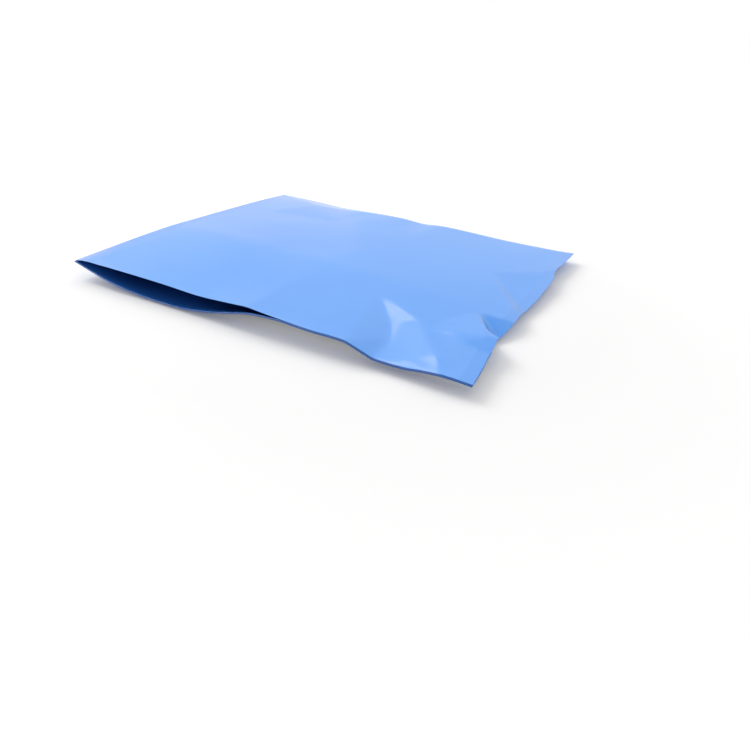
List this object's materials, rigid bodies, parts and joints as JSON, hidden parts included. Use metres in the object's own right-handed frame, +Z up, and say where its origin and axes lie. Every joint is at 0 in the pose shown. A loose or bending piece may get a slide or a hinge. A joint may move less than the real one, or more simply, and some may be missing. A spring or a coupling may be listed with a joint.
{
  "type": "poly mailer bag",
  "caption": "Flat self-seal shipping bag folded from one film, with side welds, an open mouth and a closing flap turned under.",
  "frame": {"origin": "middle of the bag's footprint, on the surface it lies on", "axes": "+X along the mouth, from the corner whose mouth stands open to the other; +Y from the mouth to the bottom fold; +Z up"},
  "size_m": [0.305, 0.258, 0.0175],
  "materials": {
    "film": "satin gloss polyethylene film, opaque light blue",
    "adhesive": "smooth tacky hot melt, pale cream",
    "liner": "thin translucent white release film"
  },
  "bodies": {
    "root": {"film_pouch": "film", "adhesive_strip": "adhesive", "release_liner": "liner"}
  },
  "joints": []
}
